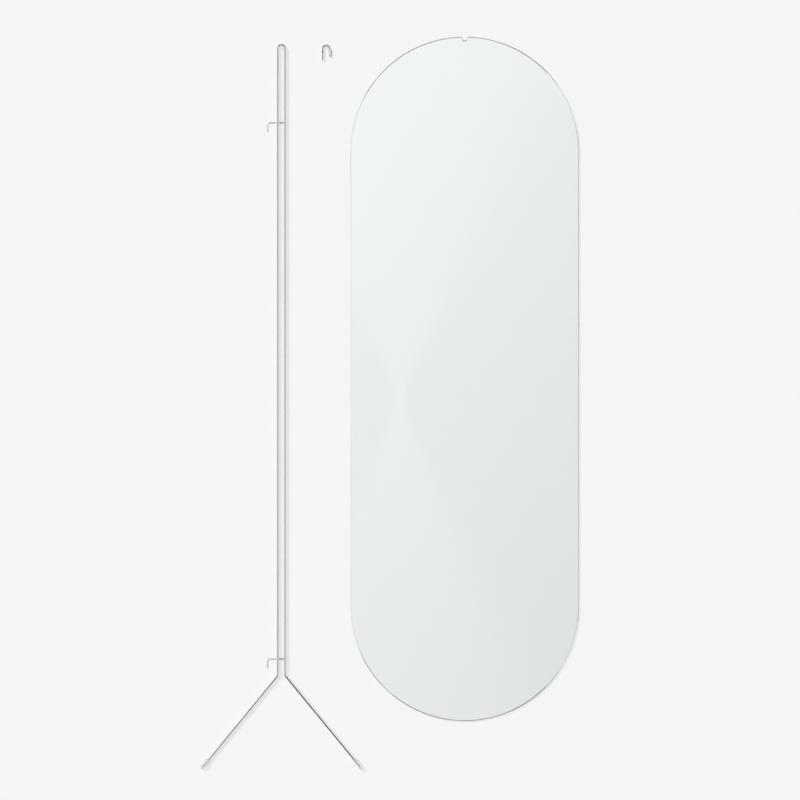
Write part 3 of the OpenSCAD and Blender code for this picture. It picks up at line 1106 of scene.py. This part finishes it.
class MIRRORKIT_OT_stand_rod(bpy.types.Operator):
    """Build the stand: one rod from foot to foot, with a hairpin at the top"""
    bl_idname = "mirrorkit.stand_rod"
    bl_label = "Stand rod"

    def execute(self, context):
        kit = context.scene.mirror_kit
        rod = kit.rod
        chrome = chrome_material("Polished chrome", rod.chrome_colour)
        piece = rod_piece("StandRod", stand_path(rod, kit.cap), rod_diameter(),
                          sides=rod.sides, steps=rod.bend_steps, material=chrome)
        tidy_piece(piece)
        carry(piece, "stand", "rod", "stand_rod")
        return {"FINISHED"}


class MIRRORKIT_OT_foot_caps(bpy.types.Operator):
    """Build the two clear caps on the ends of the legs"""
    bl_idname = "mirrorkit.foot_caps"
    bl_label = "Foot caps"

    def execute(self, context):
        kit = context.scene.mirror_kit
        rod, cap = kit.rod, kit.cap
        vinyl = vinyl_material(cap.vinyl_colour)
        profile = closed_sleeve_profile(cap.length, rod_diameter() / 2 + cap.fit, cap.wall,
                                        cap.floor, cap.rounding, CAP_LIP)
        for side, name in ((-1, "left"), (1, "right")):
            end, direction = cap_end(rod, side)
            mesh = lathe_mesh(f"FootCap_{name}", profile, TURNED_SIDES,
                              axis_matrix(end - direction * cap.length, direction), vinyl)
            carry(mesh_object(mesh.name, mesh), f"{name}_cap", "cap", f"foot_cap_{name}")
        return {"FINISHED"}


class MIRRORKIT_OT_hanging_hook(bpy.types.Operator):
    """Build the hanging hook with its flared leg and the hole for the grub screw"""
    bl_idname = "mirrorkit.hanging_hook"
    bl_label = "Hanging hook"

    def execute(self, context):
        kit = context.scene.mirror_kit
        rod, hook, cap = kit.rod, kit.hook, kit.cap
        chrome = chrome_material("Hook chrome", rod.chrome_colour)
        piece = rod_piece("HangingHook", hanging_hook_path(rod, hook, cap), rod_diameter(),
                          sides=HOOK_SIDES, steps=rod.bend_steps, material=chrome)
        reach = rod_diameter() / 2 + CUT_SPARE
        bore = hook.screw_diameter / 2 + cap.fit
        drill = [(0, -reach), (bore, -reach), (bore, reach), (0, reach)]
        cut(piece, lathe_mesh("Drill", drill, TURNED_SIDES, axis_matrix(*screw_axis(hook)),
                              chrome))
        tidy_piece(piece)
        carry(piece, "hook", "rod", "hanging_hook")
        return {"FINISHED"}


class MIRRORKIT_OT_hook_sleeve(bpy.types.Operator):
    """Build the soft sleeve on the hook's flared leg"""
    bl_idname = "mirrorkit.hook_sleeve"
    bl_label = "Hook sleeve"

    def execute(self, context):
        kit = context.scene.mirror_kit
        hook, cap = kit.hook, kit.cap
        corner, direction = flare_corner(hook)
        end = corner + direction * flare_length(hook)
        profile = closed_sleeve_profile(hook.sleeve_length, rod_diameter() / 2 + cap.fit,
                                        hook.sleeve_wall, hook.sleeve_wall,
                                        hook.sleeve_wall / 2, SLEEVE_LIP)
        mesh = lathe_mesh("HookSleeve", profile, HOOK_SIDES,
                          axis_matrix(end - direction * hook.sleeve_length, direction),
                          sleeve_material(hook.sleeve_colour))
        carry(mesh_object("HookSleeve", mesh), "sleeve", "sleeve", "hook_sleeve")
        return {"FINISHED"}


class MIRRORKIT_OT_grub_screw(bpy.types.Operator):
    """Build the grub screw with its thread and its six-sided socket"""
    bl_idname = "mirrorkit.grub_screw"
    bl_label = "Grub screw"

    def execute(self, context):
        hook = context.scene.mirror_kit.hook
        radius, length = hook.screw_diameter / 2, hook.screw_length
        thread = 0.22 * MM
        oxide = black_oxide_material()
        piece = rod_piece("GrubScrew", grub_screw_path(radius, length, thread), 2 * radius,
                          sides=WIRE_SIDES, steps=1, material=oxide)
        apply_tree(piece, thread_tree(), pitch=0.7 * MM, depth=thread, start=0.3 * MM,
                   end=length - 0.15 * MM, start_run=0.4 * MM, end_run=0.2 * MM,
                   root_width=0.25, material=oxide, thread_material=oxide)
        across_corners = hook.socket_width / math.sqrt(3)
        bottom, cone = length - hook.socket_width, 0.3 * MM
        socket = [(0, bottom - cone), (across_corners, bottom),
                  (across_corners, length + CUT_SPARE), (0, length + CUT_SPARE)]
        cut(piece, lathe_mesh("Key", socket, sides=6, matrix=axis_matrix((0, 0, 0), (1, 0, 0)),
                              material=oxide))
        origin, axis = screw_axis(hook)
        foot = rod_diameter() / 2 - hook.screw_sink - length
        turn = axis.to_track_quat("X", "Z").to_matrix().to_4x4()
        tidy_piece(piece, Matrix.Translation(origin + axis * foot) @ turn)
        carry(piece, "set_screw", "screw", "grub_screw")
        return {"FINISHED"}


class MIRRORKIT_OT_wall_hooks(bpy.types.Operator):
    """Build the two square-bent wall hooks with their wood threads"""
    bl_idname = "mirrorkit.wall_hooks"
    bl_label = "Wall hooks"

    def execute(self, context):
        kit = context.scene.mirror_kit
        wall = kit.wall_hook
        wire = wire_material("Bright wire", wall.wire_colour, (0.16, 0.24))
        # The thread's darker colour is partly dark steel and partly painted shade from the rods
        # that lie over it
        thread = wire_material("Thread steel and painted shade", wall.thread_colour, (0.3, 0.45))
        half = wall.wire / 2
        path = wall_hook_path(wall, kit.rod.chamfer)
        for place in ("upper", "lower"):
            node = f"wall_hook_{place}"
            low, high = (Vector(corner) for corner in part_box(node))
            piece = rod_piece(f"WallHook_{place}", path, wall.wire, sides=WIRE_SIDES, steps=16,
                              material=wire)
            apply_tree(piece, thread_tree(), pitch=wall.pitch, depth=half - wall.core / 2,
                       start=wall.shank - wall.thread_length + 0.5 * MM,
                       end=wall.shank - 0.3 * MM, start_run=1.2 * MM, end_run=wall.point,
                       root_width=0.5, material=wire, thread_material=thread)
            corner = Vector((low.x + half, high.y - half, (low.z + high.z) / 2))
            tidy_piece(piece, Matrix.Translation(corner))
            carry(piece, f"{place}_wall_hook", "wire", node)
        return {"FINISHED"}


class MIRRORKIT_OT_studio(bpy.types.Operator):
    """Set the pale surface, the soft light and the camera"""
    bl_idname = "mirrorkit.studio"
    bl_label = "Studio"

    def execute(self, context):
        scene = context.scene
        studio = scene.mirror_kit.studio
        self.floor(studio)
        self.ceiling(studio)
        self.light(scene, studio)
        self.camera(scene, studio)
        scene.view_settings.view_transform = "Standard"
        return {"FINISHED"}

    def camera(self, scene, studio):
        """A camera that looks straight down, as the photograph does."""
        camera = bpy.data.cameras.new("Camera")
        camera.sensor_width = 36
        camera.lens = studio.lens
        camera.clip_end = 2 * studio.shell_radius
        holder = bpy.data.objects.new("Camera", camera)
        holder.location = (*studio.camera_centre, studio.camera_height)
        scene.collection.objects.link(holder)
        scene.camera = holder

    def floor(self, studio):
        """A plane that reaches past the dome and shows the object's shadow faintly."""
        mesh = bpy.data.meshes.new("Floor")
        reach = FLOOR_SHARE * studio.shell_radius
        mesh.from_pydata([(-reach, -reach, 0), (reach, -reach, 0), (reach, reach, 0),
                          (-reach, reach, 0)], [], [(0, 1, 2, 3)])
        colour = (*studio.floor_colour, 1)
        material, tree, shader = new_material("Pale floor", {
            "Base Color": colour, "Roughness": 1.0, "Specular IOR Level": 0.0})
        glow = add_node(tree, "ShaderNodeEmission", {"Color": colour})
        plain = math_node(tree, "MULTIPLY", seen_directly(tree), 1 - studio.shadow_depth)
        blend = add_node(tree, "ShaderNodeMixShader", {
            "Fac": plain, 1: shader.outputs[0], 2: glow.outputs[0]})
        feed(tree, tree.nodes["Material Output"].inputs["Surface"], blend.outputs[0])
        mesh.materials.append(material)
        mesh_object("Floor", mesh)

    def ceiling(self, studio):
        """A dome that shows only in gloss and through glass; it casts no light or shadow."""
        shape = bmesh.new()
        bmesh.ops.create_uvsphere(shape, u_segments=64, v_segments=32,
                                  radius=studio.shell_radius)
        buried = [vert for vert in shape.verts if vert.co.z < -DOME_SKIRT]
        bmesh.ops.delete(shape, geom=buried, context="VERTS")
        mesh = bpy.data.meshes.new("StudioLight")
        shape.to_mesh(mesh)
        shape.free()
        mesh.materials.append(studio_light_material(studio))
        shell = mesh_object("StudioLight", mesh)
        shell.visible_camera = False
        shell.visible_diffuse = False
        shell.visible_shadow = False
        shell.visible_volume_scatter = False

    def light(self, scene, studio):
        """A soft lamp from the upper left, and light from all round."""
        world = bpy.data.worlds.new("Studio")
        scene.world = world
        world.use_nodes = True
        tree = world.node_tree
        background = tree.nodes["Background"]
        background.inputs["Color"].default_value = (1, 1, 1, 1)
        strength = add_node(tree, "ShaderNodeMapRange", {
            "Value": seen_directly(tree), "To Min": studio.sky_strength,
            "To Max": studio.floor_colour[0]})
        feed(tree, background.inputs["Strength"], strength.outputs["Result"])
        lamp = bpy.data.lights.new("SoftLamp", "SUN")
        lamp.angle = studio.sun_spread
        lamp.energy = math.pi * (1 - studio.sky_strength) / math.sin(studio.sun_height)
        lamp.use_shadow = True
        holder = bpy.data.objects.new("SoftLamp", lamp)
        level = math.cos(studio.sun_height)
        towards = Vector((LAMP_BEARING[0] * level, LAMP_BEARING[1] * level,
                          math.sin(studio.sun_height)))
        holder.rotation_euler = towards.to_track_quat("Z", "Y").to_euler()
        scene.collection.objects.link(holder)


# Panel and registration

OPERATORS = (
    MIRRORKIT_OT_glass, MIRRORKIT_OT_backing, MIRRORKIT_OT_bumpers, MIRRORKIT_OT_stand_rod,
    MIRRORKIT_OT_foot_caps, MIRRORKIT_OT_hanging_hook, MIRRORKIT_OT_hook_sleeve,
    MIRRORKIT_OT_grub_screw, MIRRORKIT_OT_wall_hooks, MIRRORKIT_OT_studio,
)


class MIRRORKIT_PT_panel(bpy.types.Panel):
    bl_idname = "MIRRORKIT_PT_panel"
    bl_label = "Mirror Kit"
    bl_space_type = "VIEW_3D"
    bl_region_type = "UI"
    bl_category = "Mirror Kit"

    def draw(self, context):
        kit = context.scene.mirror_kit
        for label, group in (("Mirror", kit.mirror), ("Stand", kit.rod), ("Caps", kit.cap),
                             ("Hanging hook", kit.hook), ("Wall hooks", kit.wall_hook),
                             ("Studio", kit.studio)):
            box = self.layout.box()
            box.label(text=label)
            for key in group.bl_rna.properties.keys():
                if key not in ("rna_type", "name"):
                    box.prop(group, key)
        for operator in OPERATORS:
            self.layout.operator(operator.bl_idname)


CLASSES = (MirrorSettings, RodSettings, CapSettings, HookSettings, WallHookSettings,
           StudioSettings, MirrorKitSettings, *OPERATORS, MIRRORKIT_PT_panel)


def register():
    for entry in CLASSES:
        bpy.utils.register_class(entry)
    bpy.types.Scene.mirror_kit = PointerProperty(type=MirrorKitSettings)


def unregister():
    del bpy.types.Scene.mirror_kit
    for entry in reversed(CLASSES):
        bpy.utils.unregister_class(entry)


def main():
    register()
    for operator in OPERATORS:
        getattr(bpy.ops.mirrorkit, operator.bl_idname.split(".")[1])()


if __name__ == "__main__":
    main()
